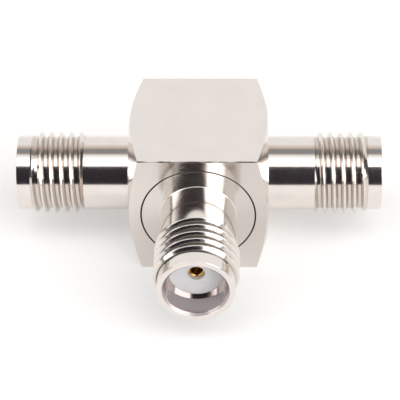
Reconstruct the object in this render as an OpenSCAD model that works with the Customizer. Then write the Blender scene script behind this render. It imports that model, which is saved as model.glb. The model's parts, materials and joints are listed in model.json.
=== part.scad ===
// Tee adapter with three threaded coaxial jacks.
// The two arms run along X, and the branch jack points along -Y.
// The origin is the centre of the block's bottom face, under the crossing of the axes.

/* [Block] */
// Width across the flats of the square bar
bar_w = 10.5; // [9.4:0.1:12.5]
// Length of the block between its two turned ends
block_len = 10.6; // [9.5:0.1:14]
// Diameter of the flat ring at each turned end
end_flat_d = 10.2; // [7:0.1:10.4]
// Slope of the turned ends, measured from the end plane, in degrees
end_slope = 20; // [0:1:30]
// Chamfer along the four long edges of the bar
bar_chamfer = 0.06; // [0.02:0.01:0.3]

/* [Jack] */
// Length of the plain neck behind the branch's thread
branch_neck_len = 3.65; // [1:0.05:8]
// Length of the plain neck behind each arm's thread
arm_neck_len = 3.6; // [1:0.05:8]
// Diameter of the plain neck
neck_d = 5.76; // [5.2:0.02:6.2]
// Radius of the fillet where a neck meets its face
neck_fillet = 0.06; // [0.02:0.01:0.6]
// Length of the branch's threaded stretch, with its lead-in and run-out
branch_thread_len = 3.7; // [2.5:0.1:6]
// Length of each arm's threaded stretch, with its lead-in and run-out
arm_thread_len = 4.1; // [2.5:0.1:6]
// Outside diameter of the thread, 1/4-36 UNS
thread_d = 6.35; // [6.2:0.01:6.6]
// Axial length of the cone where the thread runs out into the neck
runout_len = 0.2; // [0.05:0.01:0.6]
// Length of the smooth nose in front of the thread
pilot_len = 1.05; // [0.4:0.01:2]
// Diameter of the smooth nose in front of the thread
pilot_d = 5.74; // [5.3:0.01:5.9]
// Chamfer on the outer edge of the nose
pilot_chamfer = 0.05; // [0.02:0.01:0.12]

/* [Mouth] */
// Diameter of the mouth bore that takes the plug's sleeve
mouth_d = 4.6; // [4.3:0.01:4.9]
// Depth of the mouth, down to the reference plane
mouth_depth = 1.93; // [1.2:0.01:2.6]
// Chamfer on the inner edge of the mouth
mouth_chamfer = 0.17; // [0.02:0.01:0.18]

/* [Coaxial line] */
// Diameter of the bore that the insulators fill
line_bore_d = 4.1; // [3.4:0.01:4.2]
// Diameter of the contacts
contact_d = 1.27; // [1.15:0.01:1.6]
// Diameter of the hole in a contact that grips the plug's pin
socket_d = 0.93; // [0.8:0.01:1]
// Depth of the hole in a contact
socket_depth = 3.2; // [2:0.1:5]
// Chamfer at the mouth of the hole in a contact
socket_chamfer = 0.06; // [0.01:0.01:0.06]
// Width of the saw cut that splits a contact into two tines
slot_w = 0.2; // [0.1:0.01:0.3]
// Length of the saw cut
slot_len = 2.6; // [1:0.1:3.6]
// Turn of the saw cut about the contact's own axis, in degrees
slot_turn = 25; // [0:1:90]
// Depth of a contact's tip behind the reference plane
contact_recess = 0.3; // [0:0.01:0.5]

/* [Junction] */
// Diameter of the boss in the middle of the through contact
boss_d = 1.9; // [1.7:0.05:3]
// Length of the boss, which keeps the two arm insulators apart
boss_len = 2.2; // [1.6:0.1:3]
// Chamfer on the ends of the boss
boss_chamfer = 0.1; // [0.02:0.01:0.15]
// Diameter of the branch contact's tail, in the boss's cross hole
tail_d = 0.7; // [0.5:0.01:0.9]
// Gap between the branch insulator and the arms' bore
branch_gap = 0.2; // [0.05:0.05:0.8]

/* [Branch shell] */
// Diameter of the flange that is pressed into the front face
flange_d = 8.68; // [7.4:0.02:9]
// Thickness of the flange, and depth of its pocket
flange_t = 2.0; // [1:0.1:2.6]
// Chamfer on both edges of the seam around the flange
seam_chamfer = 0.06; // [0.02:0.01:0.15]

/* [Fits] */
// Radial clearance of the pressed and slid pieces
press_gap = 0.01; // [0.005:0.001:0.05]
// Radial clearance of the tail in its cross hole
tail_gap = 0.015; // [0.01:0.001:0.05]
// Axial clearance where one piece's end stops against another
seat_gap = 0.02; // [0.01:0.01:0.1]

/* [Hidden] */
$fn = 96;
// Overlap of joined shapes, and the reach of cutters past a surface
over = 1;
// Segments of a small fillet's arc
fillet_steps = 5;
axis_z = bar_w/2;
arm_reach = block_len/2 + arm_neck_len + arm_thread_len + pilot_len;
branch_reach = bar_w/2 + branch_neck_len + branch_thread_len + pilot_len;
arm_face = arm_reach - mouth_depth;
branch_face = branch_reach - mouth_depth;
arm_tip = arm_face - contact_recess;
branch_tip = branch_face - contact_recess;
line_bore_r = line_bore_d/2;
lead_in = (thread_d - pilot_d)/2;
nickel = [0.83, 0.81, 0.79];
gold = [0.86, 0.66, 0.28];
ptfe = [0.95, 0.95, 0.96];

// Moves a piece made along +Z from the crossing of the axes onto an arm or the branch.
module along(direction) {
    turn = direction == "right" ? [0, 90, 0] : direction == "left" ? [0, -90, 0] : [90, 0, 0];
    translate([0, 0, axis_z]) rotate(turn) children();
}

function concave_arc(r, z, fillet) = [
    for (i = [0:fillet_steps])
        let (a = 270 - 90*i/fillet_steps)
        [r + fillet + fillet*cos(a), z + fillet + fillet*sin(a)]
];

// Outline of a jack from its root at z = 0, over a neck and a thread of the given lengths, to its rim.
function jack_outline(neck, thread) =
    let (nose = neck + thread, rim = nose + pilot_len)
    concat(
        concave_arc(neck_d/2, 0, neck_fillet),
        [
            [neck_d/2, neck],
            [thread_d/2, neck + runout_len],
            [thread_d/2, nose - lead_in],
            [pilot_d/2, nose],
            [pilot_d/2, rim - pilot_chamfer],
            [pilot_d/2 - pilot_chamfer, rim],
            [0, rim]
        ]
    );

// Square bar along Z with its long edges broken.
module bar(length) {
    h = bar_w/2;
    c = h - bar_chamfer;
    linear_extrude(length, center = true)
        polygon([[h, c], [c, h], [-c, h], [-h, c], [-h, -c], [-c, -h], [c, -h], [h, -c]]);
}

// Form that the lathe leaves: flat rings at the ends, with a shallow cone outside them.
module turned_ends() {
    r = bar_w;
    z = block_len/2;
    drop = (r - end_flat_d/2)*tan(end_slope);
    rotate_extrude()
        polygon([[0, -z], [end_flat_d/2, -z], [r, drop - z], [r, z - drop], [end_flat_d/2, z], [0, z]]);
}

module block() {
    intersection() {
        bar(block_len + 2*over);
        turned_ends();
    }
}

// Outside of an arm, rooted in the block.
module arm_outside() {
    translate([0, 0, block_len/2])
        rotate_extrude()
            polygon(concat(
                [[0, -over], [neck_d/2 + neck_fillet, -over]],
                jack_outline(arm_neck_len, arm_thread_len)
            ));
}

// Cutter for the mouth of a jack whose rim is at the given height.
module mouth_cut(rim) {
    r = mouth_d/2;
    rotate_extrude()
        polygon([
            [0, rim - mouth_depth], [r, rim - mouth_depth], [r, rim - mouth_chamfer],
            [r + mouth_chamfer + over, rim + over], [0, rim + over]
        ]);
}

// Cutter for the pocket that takes the branch shell's flange, from the crossing outwards.
module flange_pocket() {
    r = flange_d/2 + press_gap;
    face = bar_w/2;
    rotate_extrude()
        polygon([
            [0, face - flange_t], [r, face - flange_t], [r, face - seam_chamfer],
            [r + seam_chamfer + over, face + over], [0, face + over]
        ]);
}

module body() {
    color(nickel)
        difference() {
            union() {
                along("right") block();
                along("right") arm_outside();
                along("left") arm_outside();
            }
            along("right") cylinder(h = 2*arm_reach + 2*over, r = line_bore_r, center = true);
            along("right") mouth_cut(arm_reach);
            along("left") mouth_cut(arm_reach);
            along("front") flange_pocket();
            along("front") cylinder(h = bar_w/2, r = line_bore_r);
        }
}

// Turned shell of the branch jack, with its pressed flange flush in the front face.
module front_jack() {
    face = bar_w/2;
    outline = concat(
        [
            [0, -flange_t], [flange_d/2, -flange_t], [flange_d/2, -seam_chamfer],
            [flange_d/2 - seam_chamfer, 0]
        ],
        jack_outline(branch_neck_len, branch_thread_len)
    );
    color(nickel)
        along("front")
            difference() {
                translate([0, 0, face]) rotate_extrude() polygon(outline);
                cylinder(h = branch_reach + over, r = line_bore_r);
                mouth_cut(branch_reach);
            }
}

// Hole and saw cut at the tip of a contact whose end is at the given height.
module socket_cut(tip) {
    r = socket_d/2;
    floor_z = tip - socket_depth;
    rotate_extrude()
        polygon([
            [0, floor_z - r/2], [r, floor_z], [r, tip - socket_chamfer],
            [r + socket_chamfer + over, tip + over], [0, tip + over]
        ]);
    translate([0, 0, tip - slot_len/2 + over/2])
        rotate(slot_turn)
            cube([contact_d + over, slot_w, slot_len + over], center = true);
}

// Half of the through contact, from the crossing to its tip.
module through_half() {
    r = boss_d/2;
    z = boss_len/2;
    rotate_extrude()
        polygon([
            [0, -over], [r, -over], [r, z - boss_chamfer], [r - boss_chamfer, z], [contact_d/2, z],
            [contact_d/2, arm_tip - socket_chamfer], [contact_d/2 - socket_chamfer, arm_tip], [0, arm_tip]
        ]);
}

module through_contact() {
    color(gold)
        difference() {
            union() {
                along("right") through_half();
                along("left") through_half();
            }
            along("right") socket_cut(arm_tip);
            along("left") socket_cut(arm_tip);
            along("front") cylinder(h = boss_d + 2*over, r = tail_d/2 + tail_gap, center = true);
        }
}

// Branch contact: its shoulder stops on the boss, and its tail fills the cross hole.
module branch_contact() {
    shoulder = boss_d/2 + seat_gap;
    tail_end = -boss_d/2;
    color(gold)
        along("front")
            difference() {
                rotate_extrude()
                    polygon([
                        [0, tail_end], [tail_d/2, tail_end], [tail_d/2, shoulder], [contact_d/2, shoulder],
                        [contact_d/2, branch_tip - socket_chamfer],
                        [contact_d/2 - socket_chamfer, branch_tip], [0, branch_tip]
                    ]);
                socket_cut(branch_tip);
            }
}

// Tube that holds a contact in the line bore, between two distances from the crossing.
module insulator(from, to) {
    color(ptfe)
        translate([0, 0, from])
            difference() {
                cylinder(h = to - from, r = line_bore_r - press_gap);
                translate([0, 0, -over]) cylinder(h = to - from + 2*over, r = contact_d/2 + press_gap);
            }
}

module left_insulator() {
    along("left") insulator(boss_len/2 + seat_gap, arm_face);
}

module right_insulator() {
    along("right") insulator(boss_len/2 + seat_gap, arm_face);
}

module front_insulator() {
    along("front") insulator(line_bore_r + branch_gap, branch_face);
}

body();
front_jack();
through_contact();
branch_contact();
left_insulator();
right_insulator();
front_insulator();
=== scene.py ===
import json
import math

import bmesh
import bpy
from bpy.props import FloatProperty, FloatVectorProperty, PointerProperty
from mathutils import Matrix, Vector


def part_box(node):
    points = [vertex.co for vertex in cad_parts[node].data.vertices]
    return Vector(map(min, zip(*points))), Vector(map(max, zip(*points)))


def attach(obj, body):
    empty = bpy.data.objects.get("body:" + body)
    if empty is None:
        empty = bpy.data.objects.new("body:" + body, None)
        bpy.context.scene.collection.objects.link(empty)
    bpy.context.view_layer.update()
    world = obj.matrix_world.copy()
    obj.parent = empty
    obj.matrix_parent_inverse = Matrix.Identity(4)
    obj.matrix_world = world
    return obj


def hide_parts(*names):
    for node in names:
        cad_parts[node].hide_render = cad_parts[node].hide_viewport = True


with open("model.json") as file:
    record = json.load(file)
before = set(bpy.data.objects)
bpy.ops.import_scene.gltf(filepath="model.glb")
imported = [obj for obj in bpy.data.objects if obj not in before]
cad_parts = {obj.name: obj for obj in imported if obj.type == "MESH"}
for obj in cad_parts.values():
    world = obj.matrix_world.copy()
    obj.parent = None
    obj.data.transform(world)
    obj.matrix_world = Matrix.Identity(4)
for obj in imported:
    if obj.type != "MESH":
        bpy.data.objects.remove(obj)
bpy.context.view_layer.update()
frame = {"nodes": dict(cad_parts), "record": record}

bl_info = {
    "name": "Coaxial Tee Adapter",
    "version": (1, 0, 0),
    "blender": (4, 5, 0),
    "location": "View3D > Sidebar > Tee Adapter",
    "description": "Threaded nickel shells, gold contacts and white insulators of a coaxial tee adapter",
    "category": "Object",
}

MM = 0.001
FULL_TURN = 2 * math.pi
NODES = frame["nodes"]
MOUNTS = {mount["name"]: mount for mount in frame["record"]["mounts"]}
BODY_LOW, BODY_HIGH = [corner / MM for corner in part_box("body")]
SHELL_LOW, SHELL_HIGH = [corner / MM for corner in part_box("front_jack")]
INSULATOR_LOW, INSULATOR_HIGH = [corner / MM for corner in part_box("right_insulator")]

# Sizes in millimetres that the frame gives
HALF_BAR = (BODY_HIGH.z - BODY_LOW.z) / 2
CROSSING = Vector((0, 0, HALF_BAR))
FLANGE_R = (SHELL_HIGH.x - SHELL_LOW.x) / 2
FLANGE_BACK = -SHELL_HIGH.y
INSULATOR_R = (INSULATOR_HIGH.y - INSULATOR_LOW.y) / 2
THREAD_R = MOUNTS["right_thread"]["dims"]["r_mm"]
MOUTH_R = MOUNTS["right_mouth"]["dims"]["r_mm"]


def wall_span(name):
    """Distances from the crossing, in millimetres, between which a round mount's wall runs."""
    mount = MOUNTS[name]
    middle = (Vector(mount["pos_m"]) / MM - CROSSING).length
    half = mount["dims"]["length_mm"] / 2
    return middle - half, middle + half


class Jack:
    """One of the three jacks: its direction, and what starts and ends where along its own axis."""

    def __init__(self, name, root, rim, crest, lead_in, sideways, upwards, outwards):
        self.name = name
        self.root = root
        self.rim = rim
        self.crest = crest / MM
        self.lead_in = lead_in
        self.floor = wall_span(name + "_mouth")[0]
        self.thread = wall_span(name + "_thread")
        self.turn = Matrix((sideways, upwards, outwards)).transposed()

    def neck_end(self, thread):
        """Where the neck ends and the thread's run-out starts."""
        return self.thread[0] - thread.run_out / MM

    def nose_start(self, nose):
        """Where the nose starts, as far past the solid's thread wall as its 45 degree cone reaches."""
        return self.thread[1] + THREAD_R - nose

    def place(self, sideways, upwards, outwards):
        """A point given along the jack's own axes, in the frame's millimetres."""
        return self.turn @ Vector((sideways, upwards, outwards)) + CROSSING


def arm_jacks(block, thread):
    """The two arms' jacks, rooted in the block's turned ends."""
    root = block.length / MM / 2
    slope = thread.arm_lead_in
    return (
        Jack("right", root, BODY_HIGH.x, thread.right_crest, slope, (0, 1, 0), (0, 0, 1), (1, 0, 0)),
        Jack("left", root, BODY_HIGH.x, thread.left_crest, slope, (0, 1, 0), (0, 0, -1), (-1, 0, 0)),
    )


def branch_jack(thread):
    """The branch's jack, rooted in the block's front face."""
    rim = -SHELL_LOW.y
    slope = thread.branch_lead_in
    return Jack("front", HALF_BAR, rim, thread.branch_crest, slope, (1, 0, 0), (0, 0, 1), (0, -1, 0))


class BlockSizes(bpy.types.PropertyGroup):
    length: FloatProperty(
        name="Length", description="Length of the block between its turned ends",
        default=10.6 * MM, min=8 * MM, max=16 * MM, precision=5, unit="LENGTH")
    end_flat: FloatProperty(
        name="End Flat", description="Diameter of the flat ring at each turned end",
        default=10.2 * MM, min=7 * MM, max=10.4 * MM, precision=5, unit="LENGTH")
    end_slope: FloatProperty(
        name="End Slope", description="Slope of the turned ends, from the end plane",
        default=math.radians(20), min=0.0, max=math.radians(35), subtype="ANGLE")
    bar_round: FloatProperty(
        name="Bar Edge", description="Round along the bar's four long edges",
        default=0.06 * MM, min=0.02 * MM, max=0.4 * MM, precision=5, unit="LENGTH")
    end_round: FloatProperty(
        name="End Edge", description="Round where the faces meet the turned ends",
        default=0.04 * MM, min=0.01 * MM, max=0.2 * MM, precision=5, unit="LENGTH")
    seam_chamfer: FloatProperty(
        name="Seam Chamfer", description="Chamfer on both edges of the seam around the branch's flange",
        default=0.06 * MM, min=0.01 * MM, max=0.2 * MM, precision=5, unit="LENGTH")
    press_gap: FloatProperty(
        name="Press Gap", description="Radial clearance of the pressed flange and of the insulators",
        default=0.01 * MM, min=0.001 * MM, max=0.05 * MM, precision=6, unit="LENGTH")


class JackSizes(bpy.types.PropertyGroup):
    neck: FloatProperty(
        name="Neck", description="Diameter of the plain neck behind the thread",
        default=5.76 * MM, min=5 * MM, max=6.2 * MM, precision=5, unit="LENGTH")
    neck_fillet: FloatProperty(
        name="Neck Fillet", description="Radius of the fillet where the neck meets its face",
        default=0.06 * MM, min=0.02 * MM, max=0.6 * MM, precision=5, unit="LENGTH")
    nose: FloatProperty(
        name="Nose", description="Diameter of the smooth nose in front of the thread",
        default=5.74 * MM, min=5 * MM, max=6 * MM, precision=5, unit="LENGTH")
    nose_round: FloatProperty(
        name="Nose Edge", description="Round on the nose's outer edge",
        default=0.05 * MM, min=0.01 * MM, max=0.15 * MM, precision=5, unit="LENGTH")
    mouth_chamfer: FloatProperty(
        name="Mouth Chamfer", description="Chamfer on the inner edge of the mouth",
        default=0.17 * MM, min=0.01 * MM, max=0.2 * MM, precision=5, unit="LENGTH")


class ThreadSizes(bpy.types.PropertyGroup):
    pitch: FloatProperty(
        name="Pitch", description="Distance between neighbouring crests",
        default=0.775 * MM, min=0.6 * MM, max=1.2 * MM, precision=6, unit="LENGTH")
    flank: FloatProperty(
        name="Flank", description="Slope of a flank, from the plane across the axis",
        default=math.radians(30), min=math.radians(20), max=math.radians(35), subtype="ANGLE")
    crest: FloatProperty(
        name="Crest", description="Width of the burnished crest",
        default=0.10 * MM, min=0.05 * MM, max=0.32 * MM, precision=6, unit="LENGTH")
    ridge: FloatProperty(
        name="Ridge", description="Slope at which the two halves of a crest meet",
        default=math.radians(11), min=math.radians(1), max=math.radians(15), subtype="ANGLE")
    shoulder: FloatProperty(
        name="Shoulder", description="Slope of the crest where it turns down into the flank",
        default=math.radians(24), min=math.radians(16), max=math.radians(40), subtype="ANGLE")
    shoulder_round: FloatProperty(
        name="Shoulder Round", description="Radius between the crest and the flank",
        default=0.055 * MM, min=0.01 * MM, max=0.1 * MM, precision=6, unit="LENGTH")
    depth: FloatProperty(
        name="Depth", description="Depth of the groove below the crests",
        default=0.40 * MM, min=0.2 * MM, max=0.5 * MM, precision=6, unit="LENGTH")
    run_out: FloatProperty(
        name="Run-out", description="Length of the cone where the thread runs out into the neck",
        default=0.2 * MM, min=0.02 * MM, max=0.6 * MM, precision=6, unit="LENGTH")
    arm_lead_in: FloatProperty(
        name="Arm Lead-in", description="Slope of the cone at the start of an arm's thread",
        default=math.radians(34), min=math.radians(20), max=math.radians(45), subtype="ANGLE")
    branch_lead_in: FloatProperty(
        name="Branch Lead-in", description="Slope of the cone at the start of the branch's thread",
        default=math.radians(45), min=math.radians(20), max=math.radians(45), subtype="ANGLE")
    left_crest: FloatProperty(
        name="Left Crest", description="Where a crest of the left arm passes the arm's own zero angle",
        default=0.05 * MM, precision=6, unit="LENGTH")
    right_crest: FloatProperty(
        name="Right Crest", description="Where a crest of the right arm passes the arm's own zero angle",
        default=0.74 * MM, precision=6, unit="LENGTH")
    branch_crest: FloatProperty(
        name="Branch Crest", description="Where a crest of the branch passes the branch's own zero angle",
        default=0.355 * MM, precision=6, unit="LENGTH")


class Finish(bpy.types.PropertyGroup):
    nickel: FloatVectorProperty(
        name="Nickel", description="Colour of the bright nickel plate",
        default=(0.80, 0.745, 0.705), min=0.0, max=1.0, subtype="COLOR")
    nickel_roughness: FloatProperty(
        name="Nickel Roughness", description="Roughness of the nickel plate",
        default=0.13, min=0.0, max=1.0, subtype="FACTOR")
    mouth: FloatVectorProperty(
        name="Mouth", description="Colour of the nickel on the mouths' walls",
        default=(0.47, 0.42, 0.42), min=0.0, max=1.0, subtype="COLOR")
    # Painted shade: the thread colour darkens the nickel down in the thread's grooves
    thread: FloatVectorProperty(
        name="Thread", description="Colour of the duller nickel down in the threads",
        default=(0.63, 0.575, 0.53), min=0.0, max=1.0, subtype="COLOR")
    gold: FloatVectorProperty(
        name="Gold", description="Colour of the gold plate on the contacts",
        default=(0.86, 0.60, 0.22), min=0.0, max=1.0, subtype="COLOR")
    gold_roughness: FloatProperty(
        name="Gold Roughness", description="Roughness of the gold plate",
        default=0.22, min=0.0, max=1.0, subtype="FACTOR")
    ptfe: FloatVectorProperty(
        name="Insulator", description="Colour of the white insulators",
        default=(0.96, 0.96, 0.975), min=0.0, max=1.0, subtype="COLOR")
    # Painted shade and grime: this colour fills the seam around the flange and the threads' roots, and also
    # marks the grime along the top front edge
    shade_and_grime: FloatVectorProperty(
        name="Grime", description="Colour of what gathers in the seam around the flange",
        default=(0.05, 0.04, 0.032), min=0.0, max=1.0, subtype="COLOR")


class Studio(bpy.types.PropertyGroup):
    floor: FloatVectorProperty(
        name="Floor", description="Colour of the floor",
        default=(0.66, 0.655, 0.645), min=0.0, max=1.0, subtype="COLOR")
    floor_lift: FloatProperty(
        name="Floor Lift", description="Light that the floor adds where the camera, metal or glass shows it",
        default=0.28, min=0.0, max=1.0)
    backdrop: FloatProperty(
        name="Backdrop", description="Brightness of the pale backdrop behind the object",
        default=1.0, min=0.0, max=4.0)
    overhead: FloatProperty(
        name="Overhead", description="Brightness of the soft light over the object",
        default=2.6, min=0.0, max=6.0)
    side: FloatProperty(
        name="Side", description="Brightness of the soft light beside the camera",
        default=3.2, min=0.0, max=6.0)
    distance: FloatProperty(
        name="Distance", description="Distance of the camera from the crossing of the axes",
        default=142 * MM, min=0.05, max=2.0, precision=4, unit="LENGTH")
    azimuth: FloatProperty(
        name="Azimuth", description="Camera's angle to the right of the branch",
        default=math.radians(1.9815), subtype="ANGLE")
    elevation: FloatProperty(
        name="Elevation", description="Camera's angle above the floor",
        default=math.radians(39.1618), subtype="ANGLE")
    roll: FloatProperty(
        name="Roll", description="Camera's turn about its own axis",
        default=math.radians(-1.1835), subtype="ANGLE")
    aim_drop: FloatProperty(
        name="Aim Drop", description="How far below the crossing the camera aims, across its view",
        default=2.1688 * MM, precision=5, unit="LENGTH")
    aim_left: FloatProperty(
        name="Aim Left", description="How far to the left of the crossing the camera aims, across its view",
        default=0.02 * MM, precision=5, unit="LENGTH")
    lens: FloatProperty(
        name="Lens", description="Focal length in millimetres",
        default=163.467, min=10, max=500)


# Mesh work

# Steps along each flat of the bar's section and round each of its corners
FLAT_STEPS = 56
CORNER_STEPS = 6
# Steps over half a crest and over the round beside it
CREST_STEPS = 3
SHOULDER_STEPS = 4
# Steps round the nose's edge, a neck's fillet and the block's edges
NOSE_STEPS = 4
FILLET_STEPS = 6
END_STEPS = 4
# Height in millimetres at which a groove's floor stays above the point where its flanks would meet
FLAT_ROOT = 0.01
# Length in millimetres, next to the nose, over which the grooves are no deeper than the nose
CLOSED_END = 0.3
# Distance in millimetres from a turned edge to the ring that keeps its shading even
EDGE_GUARD = 0.02
# Angle round a jack's axis at which the thread's rows start
SEAM = -math.pi / 4
# Angle above which an edge stays crisp, and the one beside a broad face
SMOOTH_LIMIT = math.radians(20)
BROAD_LIMIT = math.radians(2)
# Area in square metres above which a face is broad
BROAD_FACE = 1.0 * MM * MM
# Distance in metres within which points are one
WELD = 1e-8


def bar_section(corner_round):
    """Points round the bar's section, as (angle, distance from the axis), with evenly turned flats."""
    inner = HALF_BAR - corner_round
    flat_turn = math.atan2(inner, HALF_BAR)
    points = []
    for side in range(4):
        for step in range(FLAT_STEPS + 1):
            angle = flat_turn * (2 * step / FLAT_STEPS - 1)
            points.append((side * math.pi / 2 + angle, HALF_BAR / math.cos(angle)))
        for step in range(1, CORNER_STEPS):
            turn = math.pi / 2 * step / CORNER_STEPS
            across = inner + corner_round * math.cos(turn)
            along = inner + corner_round * math.sin(turn)
            points.append((side * math.pi / 2 + math.atan2(along, across), math.hypot(across, along)))
    return points


def bend(start, corner, end, steps):
    """Points of a soft corner from start to end, drawn towards the corner."""
    points = []
    for step in range(steps + 1):
        t = step / steps
        points.append(start * (1 - t) ** 2 + corner * 2 * t * (1 - t) + end * t * t)
    return points


class Skin:
    """Collects rings of points round a jack's axis, and the faces between them."""

    def __init__(self, section):
        self.section = section
        self.points = []
        self.faces = []
        self.finishes = []

    def ring(self, jack, radius, along):
        """A ring of points. Radius and height are each a number, or a list with one for each point."""
        first = len(self.points)
        for number, (angle, _) in enumerate(self.section):
            r = radius[number] if isinstance(radius, list) else radius
            w = along[number] if isinstance(along, list) else along
            self.points.append(jack.place(r * math.cos(angle), r * math.sin(angle), w))
        return list(range(first, len(self.points)))

    def rings(self, jack, meridian, finish):
        """Rings along a list of (radius, height), joined in turn. Gives the first and the last ring."""
        made = [self.ring(jack, r, w) for r, w in meridian]
        for low, high in zip(made, made[1:]):
            self.join(low, high, finish)
        return made[0], made[-1]

    def join(self, low, high, finish):
        """Faces between two rings."""
        count = len(low)
        for number in range(count):
            after = (number + 1) % count
            self.face((low[number], low[after], high[after], high[number]), finish)

    def face(self, corners, finish):
        self.faces.append(corners)
        self.finishes.append(finish)

    def mesh(self, name):
        """The mesh in metres, with its doubled points welded and its normals outwards."""
        mesh = bpy.data.meshes.new(name)
        mesh.from_pydata([point * MM for point in self.points], [], self.faces)
        for polygon, finish in zip(mesh.polygons, self.finishes):
            polygon.material_index = finish
        shape = bmesh.new()
        shape.from_mesh(mesh)
        bmesh.ops.remove_doubles(shape, verts=shape.verts, dist=WELD)
        flat = [face for face in shape.faces if face.calc_area() < WELD * WELD]
        bmesh.ops.delete(shape, geom=flat, context="FACES_ONLY")
        bmesh.ops.recalc_face_normals(shape, faces=shape.faces)
        shape.to_mesh(mesh)
        shape.free()
        return mesh


def mark_edges(mesh):
    """Smooth shading that stays crisp at real corners, and beside every broad flat face."""
    shape = bmesh.new()
    shape.from_mesh(mesh)
    for face in shape.faces:
        face.smooth = True
    for edge in shape.edges:
        if len(edge.link_faces) != 2:
            edge.smooth = False
            continue
        angle = edge.calc_face_angle(0.0)
        broad = max(face.calc_area() for face in edge.link_faces) > BROAD_FACE
        edge.smooth = angle < (BROAD_LIMIT if broad else SMOOTH_LIMIT)
    shape.to_mesh(mesh)
    shape.free()


def mouth_meridian(jack, sizes, line_r):
    """From the line bore, over the reference plane and the rim, to the back of the nose."""
    chamfer = sizes.mouth_chamfer / MM
    edge = sizes.nose_round / MM
    nose = sizes.nose / MM / 2
    start = jack.nose_start(nose)
    corner = bend(
        Vector((nose - edge, jack.rim)), Vector((nose, jack.rim)), Vector((nose, jack.rim - edge)),
        NOSE_STEPS)
    return [
        (line_r, jack.floor), (MOUTH_R, jack.floor),
        (MOUTH_R, jack.rim - chamfer), (MOUTH_R + chamfer, jack.rim),
        *[tuple(point) for point in corner], (nose, jack.rim - edge - EDGE_GUARD),
        (nose, start + EDGE_GUARD), (nose, start),
    ]


def neck_meridian(jack, sizes, thread):
    """From the thread's run-out down the neck and out along its fillet."""
    neck = sizes.neck / MM / 2
    fillet = sizes.neck_fillet / MM
    foot = bend(
        Vector((neck, jack.root + fillet)), Vector((neck, jack.root)), Vector((neck + fillet, jack.root)),
        FILLET_STEPS)
    end = jack.neck_end(thread)
    guards = [(neck, end), (neck, end - EDGE_GUARD), (neck, jack.root + fillet + EDGE_GUARD)]
    return guards + [tuple(point) for point in foot]


def arc(radius, start, end, steps):
    """Points of an arc from one slope to another, as (offset, drop) from its first point."""
    points = []
    for step in range(steps + 1):
        turn = start + (end - start) * step / steps
        offset = radius * (math.sin(turn) - math.sin(start))
        drop = radius * (math.cos(start) - math.cos(turn))
        points.append((offset, drop))
    return points


def thread_form(thread):
    """Points of one pitch of the thread's form, as (offset along the axis from a crest, depth below it)."""
    half_pitch = thread.pitch / MM / 2
    steepest = math.pi / 2 - thread.flank
    crest_radius = thread.crest / MM / 2 / (math.sin(thread.shoulder) - math.sin(thread.ridge))
    half = arc(crest_radius, thread.ridge, thread.shoulder, CREST_STEPS)
    offset, drop = half[-1]
    shoulder = arc(thread.shoulder_round / MM, thread.shoulder, steepest, SHOULDER_STEPS)
    half += [(offset + x, drop + y) for x, y in shoulder[1:]]
    offset, drop = half[-1]
    flanks_meet = drop + (half_pitch - offset) / math.tan(thread.flank)
    depth = min(thread.depth / MM, flanks_meet - FLAT_ROOT)
    half.append((offset + (depth - drop) * math.tan(thread.flank), depth))
    return [(-offset, drop) for offset, drop in reversed(half[1:])] + half


def cut_thread(skin, jack, sizes, thread, finish):
    """The right-hand helical thread between nose and neck.

    Its rows of points follow the helix. At the seam each row meets the one that starts a pitch further on.
    Cones close both ends, so that the thread joins the neck and the nose without a gap.
    """
    pitch = thread.pitch / MM
    neck = sizes.neck / MM / 2
    nose = sizes.nose / MM / 2
    low = jack.neck_end(thread)
    high = jack.nose_start(nose)
    climb = (THREAD_R - neck) / (thread.run_out / MM)
    fall = math.tan(jack.lead_in)
    form = thread_form(thread)
    turns = [(angle - SEAM) % FULL_TURN / FULL_TURN for angle, _ in skin.section]
    first = jack.crest + pitch * SEAM / FULL_TURN
    first += pitch * (math.floor((low - first) / pitch) - 1)
    grid = []
    while first < high + pitch:
        for offset, drop in form:
            line = []
            for (angle, _), turn in zip(skin.section, turns):
                along = min(max(first + offset + pitch * turn, low), high)
                radius = min(THREAD_R - drop, neck + climb * (along - low), nose + fall * (high - along))
                if along in (low, high):
                    radius = neck if along == low else nose
                shallowest = max(neck - (along - low), nose - max(high - along - CLOSED_END, 0))
                radius = max(radius, shallowest)
                line.append(len(skin.points))
                skin.points.append(jack.place(radius * math.cos(angle), radius * math.sin(angle), along))
            grid.append(line)
        first += pitch
    count = len(turns)
    for row in range(len(grid) - 1):
        for number in range(count):
            after = (number + 1) % count
            jump = len(form) if turns[after] < turns[number] else 0
            if row + 1 + jump < len(grid):
                low_row, high_row = grid[row + jump], grid[row + 1 + jump]
                skin.face((grid[row][number], low_row[after], high_row[after], grid[row + 1][number]), finish)


def new_piece(name, mesh, materials, replaced):
    """A piece of the object that rides on the frame and stands for its CAD node."""
    piece = bpy.data.objects.new(name, mesh)
    bpy.context.scene.collection.objects.link(piece)
    for material in materials:
        mesh.materials.append(material)
    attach(piece, "root")
    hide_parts(replaced)


def cut_away(name, mesh, cutter_mesh):
    """The first mesh with the second taken out of it, as a new mesh."""
    kept = bpy.data.objects.new(name, mesh)
    cutter = bpy.data.objects.new(name + "_cutter", cutter_mesh)
    bpy.context.scene.collection.objects.link(kept)
    bpy.context.scene.collection.objects.link(cutter)
    cut = kept.modifiers.new("cut", "BOOLEAN")
    cut.operation = "DIFFERENCE"
    cut.solver = "EXACT"
    cut.object = cutter
    bpy.context.view_layer.update()
    graph = bpy.context.evaluated_depsgraph_get()
    result = bpy.data.meshes.new_from_object(kept.evaluated_get(graph))
    bpy.data.objects.remove(kept)
    bpy.data.objects.remove(cutter)
    return result


# Materials

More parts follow.
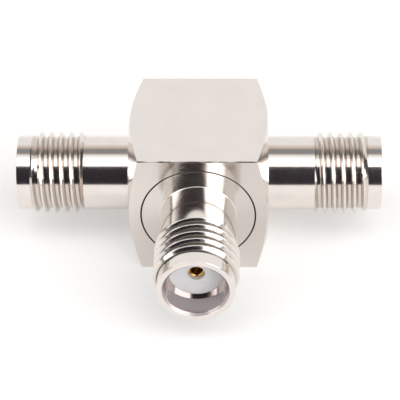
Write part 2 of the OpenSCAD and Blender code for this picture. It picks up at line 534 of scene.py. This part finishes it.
class Nodes:
    """Short ways to place and link the nodes of one node tree."""

    def __init__(self, tree):
        self.tree = tree
        tree.nodes.clear()

    def add(self, kind, **values):
        node = self.tree.nodes.new(kind)
        for key, value in values.items():
            setattr(node, key, value)
        return node

    def link(self, out, into):
        self.tree.links.new(out, into)

    def feed(self, socket, value):
        if isinstance(value, bpy.types.NodeSocket):
            self.link(value, socket)
        else:
            socket.default_value = value

    def math(self, operation, first, second=None):
        node = self.add("ShaderNodeMath", operation=operation)
        self.feed(node.inputs[0], first)
        if second is not None:
            self.feed(node.inputs[1], second)
        return node.outputs[0]

    def distance(self, across, up):
        """Straight distance between two points that lie this far apart across and up."""
        squares = self.math("ADD", self.math("POWER", across, 2.0), self.math("POWER", up, 2.0))
        return self.math("SQRT", squares)

    def split(self, vector):
        node = self.add("ShaderNodeSeparateXYZ")
        self.link(vector, node.inputs[0])
        return node.outputs

    def join(self, x, y, z):
        node = self.add("ShaderNodeCombineXYZ")
        for socket, value in zip(node.inputs, (x, y, z)):
            self.feed(socket, value)
        return node.outputs[0]

    def step(self, value, low, high, to_low=0.0, to_high=1.0):
        """A smooth change from to_low at low to to_high at high."""
        node = self.add("ShaderNodeMapRange", interpolation_type="SMOOTHSTEP")
        self.feed(node.inputs["Value"], value)
        for name, number in zip(("From Min", "From Max", "To Min", "To Max"), (low, high, to_low, to_high)):
            node.inputs[name].default_value = number
        return node.outputs["Result"]

    def noise(self, vector, scale, detail=2.0, roughness=0.5):
        node = self.add("ShaderNodeTexNoise")
        self.link(vector, node.inputs["Vector"])
        node.inputs["Scale"].default_value = scale
        node.inputs["Detail"].default_value = detail
        node.inputs["Roughness"].default_value = roughness
        return node.outputs["Fac"]

    def mix(self, share, first, second):
        """The first colour, with the given share of the second laid over it."""
        node = self.add("ShaderNodeMix", data_type="RGBA")
        self.feed(node.inputs[0], share)
        self.feed(node.inputs[6], first)
        self.feed(node.inputs[7], second)
        return node.outputs[2]

    def bump(self, height, distance):
        node = self.add("ShaderNodeBump")
        self.link(height, node.inputs["Height"])
        node.inputs["Distance"].default_value = distance
        node.inputs["Strength"].default_value = 1.0
        return node.outputs["Normal"]


def solid(colour, shade=1.0):
    """A colour that covers fully, with its brightness times the shade."""
    return (*[part * shade for part in colour], 1)


def new_material(name, colour, roughness, metallic):
    """A material with one shader, whose even values sit on the shader itself."""
    material = bpy.data.materials.new(name)
    material.use_nodes = True
    nodes = Nodes(material.node_tree)
    shader = nodes.add("ShaderNodeBsdfPrincipled")
    out = nodes.add("ShaderNodeOutputMaterial")
    nodes.link(shader.outputs["BSDF"], out.inputs["Surface"])
    shader.inputs["Base Color"].default_value = solid(colour)
    shader.inputs["Roughness"].default_value = roughness
    shader.inputs["Metallic"].default_value = metallic
    return material, nodes, shader


def place_in_mm(nodes):
    """The surface point in millimetres from the crossing of the axes."""
    coordinates = nodes.add("ShaderNodeTexCoord")
    scaled = nodes.add("ShaderNodeVectorMath", operation="SCALE")
    nodes.link(coordinates.outputs["Object"], scaled.inputs[0])
    scaled.inputs["Scale"].default_value = 1 / MM
    moved = nodes.add("ShaderNodeVectorMath", operation="SUBTRACT")
    nodes.link(scaled.outputs["Vector"], moved.inputs[0])
    moved.inputs[1].default_value = CROSSING
    return moved.outputs["Vector"]


def clouded(nodes, clouds, colour, shade, high=0.7):
    """The colour, with soft clouds of a darker shade."""
    return nodes.mix(nodes.step(clouds, 0.35, high), solid(colour), solid(colour, shade))


# Numbers of the axes that the arms and the branch lie along
ALONG_ARMS, ALONG_BRANCH = 0, 1
# Roughness of the painted shade and grime, and how deep the marks in each surface are, in metres
SHADE_AND_GRIME_ROUGHNESS = 0.6
FACED_MARKS = 0.0006 * MM
LATHE_MARKS = 0.0012 * MM
GOLD_MARKS = 0.001 * MM
PTFE_MARKS = 0.004 * MM


def seam_shade_and_grime(nodes, place):
    """Painted shade and grime: 1 in the groove around the branch's flange, and 0 away from it."""
    groove_r = FLANGE_R + 0.005
    full, gone = 0.045, 0.075
    front = -HALF_BAR
    x, y, z = nodes.split(place)
    away = nodes.math("ABSOLUTE", nodes.math("SUBTRACT", nodes.distance(x, z), groove_r))
    near_ring = nodes.step(away, full, gone, 1.0, 0.0)
    on_front = nodes.step(y, front + 0.3, front + 0.5, 1.0, 0.0)
    return nodes.math("MULTIPLY", near_ring, on_front)


def edge_burr(nodes, place):
    """Patches of grime along the block's top front edge, where the milled faces left a slight burr."""
    full, gone = 0.10, 0.15
    unevenness = 0.12
    x, y, z = nodes.split(place)
    from_edge = nodes.distance(nodes.math("ADD", y, HALF_BAR), nodes.math("SUBTRACT", HALF_BAR, z))
    wander = nodes.math("MULTIPLY", nodes.noise(place, scale=3.0, detail=4.0, roughness=0.6), unevenness)
    near_edge = nodes.step(nodes.math("ADD", from_edge, wander), full, gone, 1.0, 0.0)
    patches = nodes.step(nodes.noise(place, scale=0.9, detail=3.0, roughness=0.6), 0.36, 0.52)
    return nodes.math("MULTIPLY", near_edge, patches)


def front_painted_shade(nodes, x, y, z):
    """Painted shade on the block's front face, standing in for the shadowed floor that it reflects: least at
    its lower left corner, most at its upper right one.
    """
    front = -HALF_BAR
    on_front = nodes.step(y, front + 0.03, front + 0.01)
    upper_right = nodes.step(nodes.math("ADD", x, z), -5.0, 6.0, 0.3, 1.0)
    return nodes.math("MULTIPLY", on_front, upper_right)


def faced_nickel(finish):
    """Nickel on the block's faces and on the flange: almost a mirror, with faint clouds and hairlines,
    painted shade over the front face, painted shade and grime in the seam, and grime along the top front
    edge.
    """
    smooth, scratched = finish.nickel_roughness * 0.8, finish.nickel_roughness * 1.35
    hairline_stretch = 0.15
    wave_share = 6.0
    material, nodes, shader = new_material("faced_nickel", finish.nickel, finish.nickel_roughness, 1.0)
    place = place_in_mm(nodes)
    x, y, z = nodes.split(place)
    tint = clouded(nodes, nodes.noise(place, scale=0.35, detail=3.0), finish.nickel, 0.97)
    # Painted shade over the front face, darkest at its upper right
    tint = nodes.mix(front_painted_shade(nodes, x, y, z), tint, solid(finish.nickel, 0.80))
    # Painted shade and grime in the seam, and grime along the top front edge
    shade_and_grime = nodes.math("MAXIMUM", seam_shade_and_grime(nodes, place), edge_burr(nodes, place))
    nodes.link(nodes.mix(shade_and_grime, tint, solid(finish.shade_and_grime)), shader.inputs["Base Color"])
    stretched = nodes.join(nodes.math("MULTIPLY", x, hairline_stretch), y, z)
    drawn = nodes.noise(stretched, scale=9.0, detail=4.0, roughness=0.65)
    rough = nodes.step(drawn, 0.3, 0.75, smooth, scratched)
    rough = nodes.math("MAXIMUM", rough, nodes.math("MULTIPLY", shade_and_grime, SHADE_AND_GRIME_ROUGHNESS))
    nodes.link(rough, shader.inputs["Roughness"])
    wave = nodes.math("MULTIPLY", nodes.noise(place, scale=0.5, detail=1.0), wave_share)
    nodes.link(nodes.bump(nodes.math("ADD", wave, drawn), FACED_MARKS), shader.inputs["Normal"])
    return material


def thread_shade_and_grime(nodes, from_axis, x, axis, depth):
    """Painted shade and grime below the given depth of a thread's grooves; on the branch the painted shade
    lies mostly on its left side.
    """
    soft = 0.03
    deep = THREAD_R - depth
    if axis == ALONG_ARMS:
        return nodes.step(from_axis, deep - soft, deep + soft, 0.5, 0.0)
    shade_and_grime = nodes.step(from_axis, deep - soft, deep + soft, 0.85, 0.0)
    return nodes.math("MULTIPLY", shade_and_grime, nodes.step(x, 0.5, 1.7, 1.0, 0.1))


def turned_nickel(name, axis, finish, shade_and_grime_depth=None):
    """Nickel on turned surfaces, with lathe marks that run round the given axis, and painted shade with grime
    down in a thread.
    """
    material, nodes, shader = new_material(name, finish.nickel, finish.nickel_roughness, 1.0)
    place = place_in_mm(nodes)
    parts = nodes.split(place)
    from_axis = nodes.distance(*[parts[number] for number in range(3) if number != axis])
    clouds = nodes.noise(place, scale=0.8, detail=3.0)
    tint = clouded(nodes, clouds, finish.nickel, 0.96)
    if shade_and_grime_depth:
        uneven = nodes.math("ADD", from_axis, nodes.math("MULTIPLY", clouds, 0.05))
        down = nodes.step(uneven, THREAD_R - 0.24, THREAD_R + 0.02, 1.0, 0.0)
        # Painted shade: the nickel turns to the thread colour down in the grooves
        tint = nodes.mix(down, tint, solid(finish.thread))
        # Painted shade and grime in the thread's roots
        shade_and_grime = thread_shade_and_grime(nodes, uneven, parts[0], axis, shade_and_grime_depth)
    else:
        # Painted shade and grime in the seam around the flange
        shade_and_grime = seam_shade_and_grime(nodes, place)
    # The mouth's wall and the chamfer just outside it
    off_wall = nodes.math("ABSOLUTE", nodes.math("SUBTRACT", from_axis, MOUTH_R + 0.08))
    in_mouth = nodes.step(off_wall, 0.082, 0.088, 1.0, 0.0)
    tint = nodes.mix(in_mouth, tint, solid(finish.mouth))
    nodes.link(nodes.mix(shade_and_grime, tint, solid(finish.shade_and_grime)), shader.inputs["Base Color"])
    lathe = nodes.noise(nodes.join(parts[axis], from_axis, 0.0), scale=16.0, detail=5.0, roughness=0.7)
    rough = nodes.math("MULTIPLY", nodes.step(lathe, 0.25, 0.8, 0.8, 1.3), finish.nickel_roughness)
    rough = nodes.math("MAXIMUM", rough, nodes.math("MULTIPLY", shade_and_grime, SHADE_AND_GRIME_ROUGHNESS))
    wall_rough, chamfer_rough = 0.13, 0.42
    satin = nodes.step(from_axis, MOUTH_R + 0.01, MOUTH_R + 0.02, wall_rough, chamfer_rough)
    satin = nodes.math("MULTIPLY", in_mouth, satin)
    nodes.link(nodes.math("MAXIMUM", rough, satin), shader.inputs["Roughness"])
    nodes.link(nodes.bump(lathe, LATHE_MARKS), shader.inputs["Normal"])
    return material


def gold_plate(finish):
    """Gold on the turned contacts, a little worn where a pin slides in."""
    smooth, worn = finish.gold_roughness * 0.8, finish.gold_roughness * 1.4
    material, nodes, shader = new_material("gold_plate", finish.gold, finish.gold_roughness, 1.0)
    place = place_in_mm(nodes)
    clouds = nodes.step(nodes.noise(place, scale=3.0, detail=4.0), 0.4, 0.75)
    tint = nodes.mix(clouds, solid(finish.gold), solid(finish.gold, 0.85))
    nodes.link(tint, shader.inputs["Base Color"])
    rough = nodes.step(nodes.noise(place, scale=14.0, detail=3.0), 0.3, 0.7, smooth, worn)
    nodes.link(rough, shader.inputs["Roughness"])
    nodes.link(nodes.bump(nodes.noise(place, scale=25.0), GOLD_MARKS), shader.inputs["Normal"])
    return material


def white_ptfe(finish):
    """Waxy white insulator with faint facing marks."""
    material, nodes, shader = new_material("white_ptfe", finish.ptfe, 0.42, 0.0)
    shader.inputs["Subsurface Weight"].default_value = 0.25
    shader.inputs["Subsurface Radius"].default_value = (0.6 * MM, 0.5 * MM, 0.5 * MM)
    shader.inputs["Subsurface Scale"].default_value = 1.0
    shader.inputs["IOR"].default_value = 1.38
    place = place_in_mm(nodes)
    tint = clouded(nodes, nodes.noise(place, scale=1.6, detail=3.0), finish.ptfe, 0.95, high=0.75)
    nodes.link(tint, shader.inputs["Base Color"])
    rough = nodes.step(nodes.noise(place, scale=8.0, detail=3.0), 0.3, 0.7, 0.36, 0.5)
    nodes.link(rough, shader.inputs["Roughness"])
    nodes.link(nodes.bump(nodes.noise(place, scale=12.0, detail=3.0), PTFE_MARKS), shader.inputs["Normal"])
    return material


def shared_material(name, make, *arguments):
    """The named material, made the first time that a piece asks for it."""
    return bpy.data.materials.get(name) or make(*arguments)


def nickel_finishes(finish):
    """Materials in the order of the finish numbers below."""
    arm_shade_and_grime_depth, branch_shade_and_grime_depth = 0.40, 0.22
    finishes = [shared_material("faced_nickel", faced_nickel, finish)]
    for name, axis, *depth in (
        ("turned_nickel_arms", ALONG_ARMS),
        ("turned_nickel_branch", ALONG_BRANCH),
        ("threaded_nickel_arms", ALONG_ARMS, arm_shade_and_grime_depth),
        ("threaded_nickel_branch", ALONG_BRANCH, branch_shade_and_grime_depth),
    ):
        finishes.append(shared_material(name, turned_nickel, name, axis, finish, *depth))
    return finishes


FACED, TURNED_ARM, TURNED_BRANCH, THREADED_ARM, THREADED_BRANCH = range(5)


# Operators

class TEE_OT_machined_body(bpy.types.Operator):
    """Block turned from square bar, with both arms, their threads and the pocket for the branch"""

    bl_idname = "tee.machined_body"
    bl_label = "Machined Body"

    def execute(self, context):
        scene = context.scene
        block, sizes, thread = scene.tee_block, scene.tee_jack, scene.tee_thread
        skin = Skin(bar_section(block.bar_round / MM))
        line_r = INSULATOR_R + block.press_gap / MM
        inner, outer = {}, {}
        for jack in arm_jacks(block, thread):
            inner[jack.name], _ = skin.rings(jack, mouth_meridian(jack, sizes, line_r), TURNED_ARM)
            cut_thread(skin, jack, sizes, thread, THREADED_ARM)
            skin.rings(jack, neck_meridian(jack, sizes, thread), TURNED_ARM)
            outer[jack.name] = self.turned_end(skin, jack, block, sizes)
        self.long_faces(skin, outer["right"], outer["left"])
        skin.join(inner["right"], self.across(inner["left"], skin.section), TURNED_ARM)
        whole = skin.mesh("machined_body")
        mesh = cut_away("machined_body", whole, self.pocket(block, thread, line_r))
        mark_edges(mesh)
        new_piece("machined_body", mesh, nickel_finishes(scene.tee_finish), "body")
        return {"FINISHED"}

    @staticmethod
    def across(ring, section):
        """The far jack's ring in the order that this jack meets it, since it is turned half round."""
        count = len(section)
        order = []
        for angle, _ in section:
            facing = min(range(count), key=lambda n: abs(math.remainder(section[n][0] + angle, FULL_TURN)))
            order.append(ring[facing])
        return order

    @staticmethod
    def turned_end(skin, jack, block, sizes):
        """Flat ring, cone and rounded edge at one end of the block. Gives the ring on the long faces."""
        flat = block.end_flat / MM / 2
        foot = sizes.neck / MM / 2 + sizes.neck_fillet / MM
        slope = math.tan(block.end_slope)
        reach = block.end_round / MM
        skin.rings(jack, [(foot, jack.root), (flat, jack.root)], TURNED_ARM)
        previous = skin.ring(jack, flat, jack.root)
        corners = []
        for _, radius in skin.section:
            corner = Vector((radius, jack.root - slope * (radius - flat)))
            inwards = Vector((-1, slope)).normalized() * reach
            corners.append(bend(corner + inwards, corner, corner + Vector((0, -reach)), END_STEPS))
        for step in range(END_STEPS + 1):
            ring = skin.ring(jack, [c[step].x for c in corners], [c[step].y for c in corners])
            skin.join(previous, ring, TURNED_ARM if step == 0 else FACED)
            previous = ring
        return previous

    def long_faces(self, skin, near, far):
        """The bar's four flats as one face each, and its rounded long edges as strips."""
        facing = self.across(far, skin.section)
        count = len(near)
        span = FLAT_STEPS + CORNER_STEPS
        for side in range(4):
            first = side * span
            flat = range(first, first + FLAT_STEPS + 1)
            skin.face([near[n] for n in flat] + [facing[n] for n in reversed(flat)], FACED)
            for n in range(first + FLAT_STEPS, first + span):
                after = (n + 1) % count
                skin.face((near[n], near[after], facing[after], facing[n]), FACED)

    @staticmethod
    def pocket(block, thread, line_r):
        """Cutter for the flange's pocket and for the branch's own line bore behind it."""
        front = branch_jack(thread)
        skin = Skin(bar_section(block.bar_round / MM))
        radius = FLANGE_R + block.press_gap / MM
        chamfer = block.seam_chamfer / MM
        # A hair narrower than the arms' bore, because two equal bores would only touch at their sides
        bore = line_r - 0.005
        past = 0.5
        low, high = skin.rings(front, [
            (bore, 0.0), (bore, FLANGE_BACK), (radius, FLANGE_BACK), (radius, HALF_BAR - chamfer),
            (radius + chamfer + past, HALF_BAR + past),
        ], TURNED_BRANCH)
        skin.face(low, TURNED_BRANCH)
        skin.face(high, TURNED_BRANCH)
        return skin.mesh("pocket_cutter")


class TEE_OT_branch_shell(bpy.types.Operator):
    """Turned shell of the branch jack, with its thread and the flange pressed into the block"""

    bl_idname = "tee.branch_shell"
    bl_label = "Branch Shell"

    def execute(self, context):
        scene = context.scene
        block, sizes, thread = scene.tee_block, scene.tee_jack, scene.tee_thread
        front = branch_jack(thread)
        skin = Skin(bar_section(block.bar_round / MM))
        line_r = INSULATOR_R + block.press_gap / MM
        chamfer = block.seam_chamfer / MM
        inner, _ = skin.rings(front, mouth_meridian(front, sizes, line_r), TURNED_BRANCH)
        cut_thread(skin, front, sizes, thread, THREADED_BRANCH)
        _, foot = skin.rings(front, neck_meridian(front, sizes, thread), TURNED_BRANCH)
        face = skin.ring(front, FLANGE_R - chamfer, HALF_BAR)
        skin.join(foot, face, FACED)
        _, back = skin.rings(front, [
            (FLANGE_R - chamfer, HALF_BAR), (FLANGE_R, HALF_BAR - chamfer), (FLANGE_R, FLANGE_BACK),
            (line_r, FLANGE_BACK),
        ], TURNED_BRANCH)
        skin.join(back, inner, TURNED_BRANCH)
        mesh = skin.mesh("branch_shell")
        mark_edges(mesh)
        new_piece("branch_shell", mesh, nickel_finishes(scene.tee_finish), "front_jack")
        return {"FINISHED"}


def dress(names, material):
    """Gives CAD nodes one material."""
    for name in names:
        mesh = NODES[name].data
        mesh.materials.clear()
        mesh.materials.append(material)


class TEE_OT_contacts(bpy.types.Operator):
    """Gold plate on the split socket contacts"""

    bl_idname = "tee.contacts"
    bl_label = "Contacts"

    def execute(self, context):
        dress(("through_contact", "branch_contact"), gold_plate(context.scene.tee_finish))
        return {"FINISHED"}


class TEE_OT_insulators(bpy.types.Operator):
    """White insulators that hold the contacts"""

    bl_idname = "tee.insulators"
    bl_label = "Insulators"

    def execute(self, context):
        dress(("left_insulator", "right_insulator", "front_insulator"), white_ptfe(context.scene.tee_finish))
        return {"FINISHED"}


class TEE_OT_studio(bpy.types.Operator):
    """Pale floor, soft studio light and the camera"""

    bl_idname = "tee.studio"
    bl_label = "Studio"

    def execute(self, context):
        studio = context.scene.tee_studio
        self.lay_floor(studio)
        self.light(context.scene, studio)
        self.aim_camera(context.scene, studio)
        return {"FINISHED"}

    @staticmethod
    def lay_floor(studio):
        half = 0.8
        corners = [(-half, -half, 0), (half, -half, 0), (half, half, 0), (-half, half, 0)]
        mesh = bpy.data.meshes.new("floor")
        mesh.from_pydata(corners, [], [(0, 1, 2, 3)])
        floor = bpy.data.objects.new("floor", mesh)
        bpy.context.scene.collection.objects.link(floor)
        material = bpy.data.materials.new("white_floor")
        material.use_nodes = True
        nodes = Nodes(material.node_tree)
        diffuse = nodes.add("ShaderNodeBsdfDiffuse")
        diffuse.inputs["Color"].default_value = solid(studio.floor)
        rays = nodes.add("ShaderNodeLightPath")
        seen = nodes.math("MAXIMUM", rays.outputs["Is Camera Ray"], rays.outputs["Is Transmission Ray"])
        seen = nodes.math("MAXIMUM", seen, rays.outputs["Is Glossy Ray"])
        glow = nodes.add("ShaderNodeEmission")
        nodes.link(nodes.math("MULTIPLY", seen, studio.floor_lift), glow.inputs["Strength"])
        both = nodes.add("ShaderNodeAddShader")
        out = nodes.add("ShaderNodeOutputMaterial")
        nodes.link(diffuse.outputs[0], both.inputs[0])
        nodes.link(glow.outputs[0], both.inputs[1])
        nodes.link(both.outputs[0], out.inputs["Surface"])
        mesh.materials.append(material)

    @staticmethod
    def light(scene, studio):
        """A light tent as the object sees it. The camera sees plain white instead.

        over_x and over_y say where a direction crosses a ceiling one unit up, behind being above zero.
        turn is the angle from the branch's direction, to the right, and rise the one above the floor.
        """
        world = bpy.data.worlds.new("light_tent")
        world.use_nodes = True
        scene.world = world
        nodes = Nodes(world.node_tree)
        x, y, z = nodes.split(nodes.add("ShaderNodeTexCoord").outputs["Generated"])
        lowest = 0.001
        height = nodes.math("MAXIMUM", z, lowest)
        over_x = nodes.math("ABSOLUTE", nodes.math("DIVIDE", x, height))
        over_y = nodes.math("DIVIDE", y, height)
        rise = nodes.math("DEGREES", nodes.math("ARCSINE", z))
        turn = nodes.math("DEGREES", nodes.math("ARCTAN2", x, nodes.math("MULTIPLY", y, -1.0)))

        def within(value, low, high, soft):
            """1 between low and high, with edges that are soft to both sides."""
            up = nodes.step(value, low - soft, low + soft)
            down = nodes.step(value, high - soft, high + soft, 1.0, 0.0)
            return nodes.math("MULTIPLY", up, down)

        def card(colour, level, turns, rises, soft_turn, soft_rise):
            """An upright card in front of what the tent shows there."""
            there = nodes.math("MULTIPLY", within(turn, *turns, soft_turn), within(rise, *rises, soft_rise))
            return nodes.mix(there, colour, (level, level, level, 1))

        # Where the ceiling's parts meet: the overhead light, the strip at the zenith and the gap behind it
        front_end, zenith_front, zenith_back = -0.625, -0.12, 0.087
        ceiling_soft = 0.02
        level = studio.backdrop
        colour = (level * 1.004, level, level * 0.996, 1)
        warm_gap = within(over_y, zenith_back, 0.90, 0.20)
        colour = nodes.mix(warm_gap, colour, (0.80, 0.70, 0.63, 1))
        dark_gap = within(over_y, zenith_back, 0.56, 0.14)
        colour = nodes.mix(dark_gap, colour, (0.30, 0.30, 0.30, 1))
        camera_side = nodes.math("MULTIPLY", nodes.step(y, 0.05, -0.05), nodes.step(over_y, -0.60, -0.65))
        colour = nodes.mix(camera_side, colour, (0.029, 0.024, 0.031, 1))
        above = nodes.step(over_x, 1.8, 2.2, 1.0, 0.0)
        zenith = nodes.math("MULTIPLY", within(over_y, zenith_front, zenith_back, ceiling_soft), above)
        colour = nodes.mix(zenith, colour, (1.08, 1.08, 1.08, 1))
        overhead = nodes.math("MULTIPLY", within(over_y, front_end, zenith_front, ceiling_soft), above)
        colour = nodes.mix(overhead, colour, (studio.overhead, studio.overhead, studio.overhead, 1))
        # Dark cards off the arms' ends, and bright ones on both sides of the camera
        dark = 0.08
        colour = card(colour, dark, (-130, -64), (-6, 30), 3.0, 2.0)
        colour = card(colour, dark, (80, 108), (-6, 30), 3.0, 2.0)
        colour = card(colour, studio.side, (18, 78), (3, 60), 2.0, 1.5)
        colour = card(colour, studio.side, (-64, -40), (5, 40), 2.0, 1.5)
        background = nodes.add("ShaderNodeBackground")
        nodes.link(colour, background.inputs["Color"])
        plain = nodes.add("ShaderNodeBackground")
        plain.inputs["Color"].default_value = (1, 1, 1, 1)
        rays = nodes.add("ShaderNodeLightPath")
        either = nodes.add("ShaderNodeMixShader")
        out = nodes.add("ShaderNodeOutputWorld")
        nodes.link(rays.outputs["Is Camera Ray"], either.inputs["Fac"])
        nodes.link(background.outputs[0], either.inputs[1])
        nodes.link(plain.outputs[0], either.inputs[2])
        nodes.link(either.outputs[0], out.inputs["Surface"])
        scene.view_settings.view_transform = "Standard"

    @staticmethod
    def aim_camera(scene, studio):
        camera = bpy.data.objects.new("camera", bpy.data.cameras.new("camera"))
        scene.collection.objects.link(camera)
        camera.data.sensor_width = 36
        camera.data.lens = studio.lens
        camera.data.clip_start = 0.005
        camera.data.clip_end = 10
        across = math.cos(studio.elevation)
        towards = Vector((
            math.sin(studio.azimuth) * across,
            -math.cos(studio.azimuth) * across,
            math.sin(studio.elevation),
        ))
        rightwards = Vector((math.cos(studio.azimuth), math.sin(studio.azimuth), 0))
        upwards = towards.cross(rightwards)
        crossing = CROSSING * MM
        camera.location = crossing + towards * studio.distance
        aim = crossing - upwards * studio.aim_drop - rightwards * studio.aim_left
        gaze = aim - camera.location
        camera.rotation_mode = "QUATERNION"
        level = gaze.to_track_quat("-Z", "Y").to_matrix().to_4x4()
        camera.rotation_quaternion = (level @ Matrix.Rotation(studio.roll, 4, "Z")).to_quaternion()
        scene.camera = camera


class VIEW3D_PT_tee_adapter(bpy.types.Panel):
    bl_label = "Tee Adapter"
    bl_idname = "VIEW3D_PT_tee_adapter"
    bl_space_type = "VIEW_3D"
    bl_region_type = "UI"
    bl_category = "Tee Adapter"

    def draw(self, context):
        layout = self.layout
        for heading, group, settings in SETTINGS:
            box = layout.box()
            box.label(text=heading)
            for name in settings.__annotations__:
                box.prop(getattr(context.scene, group), name)
        for operator in OPERATORS:
            layout.operator(operator.bl_idname)


SETTINGS = (
    ("Block", "tee_block", BlockSizes),
    ("Jacks", "tee_jack", JackSizes),
    ("Thread", "tee_thread", ThreadSizes),
    ("Finish", "tee_finish", Finish),
    ("Studio", "tee_studio", Studio),
)
OPERATORS = (TEE_OT_machined_body, TEE_OT_branch_shell, TEE_OT_contacts, TEE_OT_insulators, TEE_OT_studio)


def register():
    for _, group, settings in SETTINGS:
        bpy.utils.register_class(settings)
        setattr(bpy.types.Scene, group, PointerProperty(type=settings))
    for operator in OPERATORS:
        bpy.utils.register_class(operator)
    bpy.utils.register_class(VIEW3D_PT_tee_adapter)


def unregister():
    bpy.utils.unregister_class(VIEW3D_PT_tee_adapter)
    for operator in reversed(OPERATORS):
        bpy.utils.unregister_class(operator)
    for _, group, settings in reversed(SETTINGS):
        delattr(bpy.types.Scene, group)
        bpy.utils.unregister_class(settings)


def main():
    register()
    bpy.ops.tee.machined_body()
    bpy.ops.tee.branch_shell()
    bpy.ops.tee.contacts()
    bpy.ops.tee.insulators()
    bpy.ops.tee.studio()
    bpy.context.view_layer.update()


if __name__ == "__main__":
    main()
